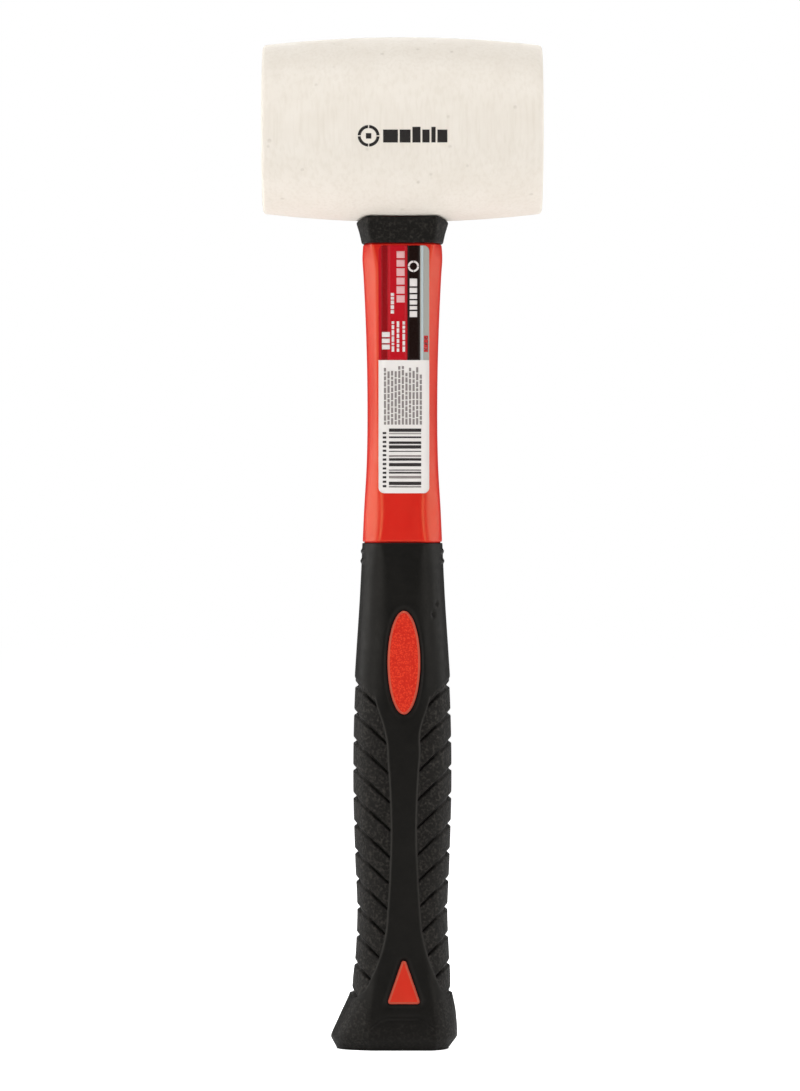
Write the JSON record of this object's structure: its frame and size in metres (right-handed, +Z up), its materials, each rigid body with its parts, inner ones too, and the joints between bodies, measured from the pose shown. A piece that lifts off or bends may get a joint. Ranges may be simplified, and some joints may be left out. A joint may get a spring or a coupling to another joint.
{
  "type": "rubber mallet",
  "caption": "Mallet with a barrel-shaped white rubber head on a jacketed fibreglass handle and a grooved soft black grip.",
  "frame": {"origin": "middle of the butt's flat underside, on the handle's axis", "axes": "+Z up the handle towards the head, X along the head's axis, which is the direction of the blow, -Y towards the labelled side"},
  "size_m": [0.0944, 0.062, 0.34],
  "materials": {
    "head_rubber": "off-white solid rubber, matt, faintly mottled and speckled",
    "eye_epoxy": "cured amber epoxy",
    "collar_rubber": "matt black",
    "core_fibreglass": "pultruded glass fibre rod, satin, fine lengthwise grain",
    "jacket_plastic": "moulded red polypropylene, satin",
    "grip_rubber": "soft-touch black, smooth in the middle and grained on the flanks",
    "inlay_plastic": "red, pebbled on the ovals and smooth on the triangles",
    "label_film": null
  },
  "bodies": {
    "root": {"head": "head_rubber", "eye_adhesive": "eye_epoxy", "head_collar": "collar_rubber", "handle_core": "core_fibreglass", "handle_jacket": "jacket_plastic", "grip": "grip_rubber", "grip_oval_inlay_front": "inlay_plastic", "grip_oval_inlay_back": "inlay_plastic", "grip_butt_inlay_front": "inlay_plastic", "grip_butt_inlay_back": "inlay_plastic", "product_label": "label_film"}
  },
  "joints": []
}
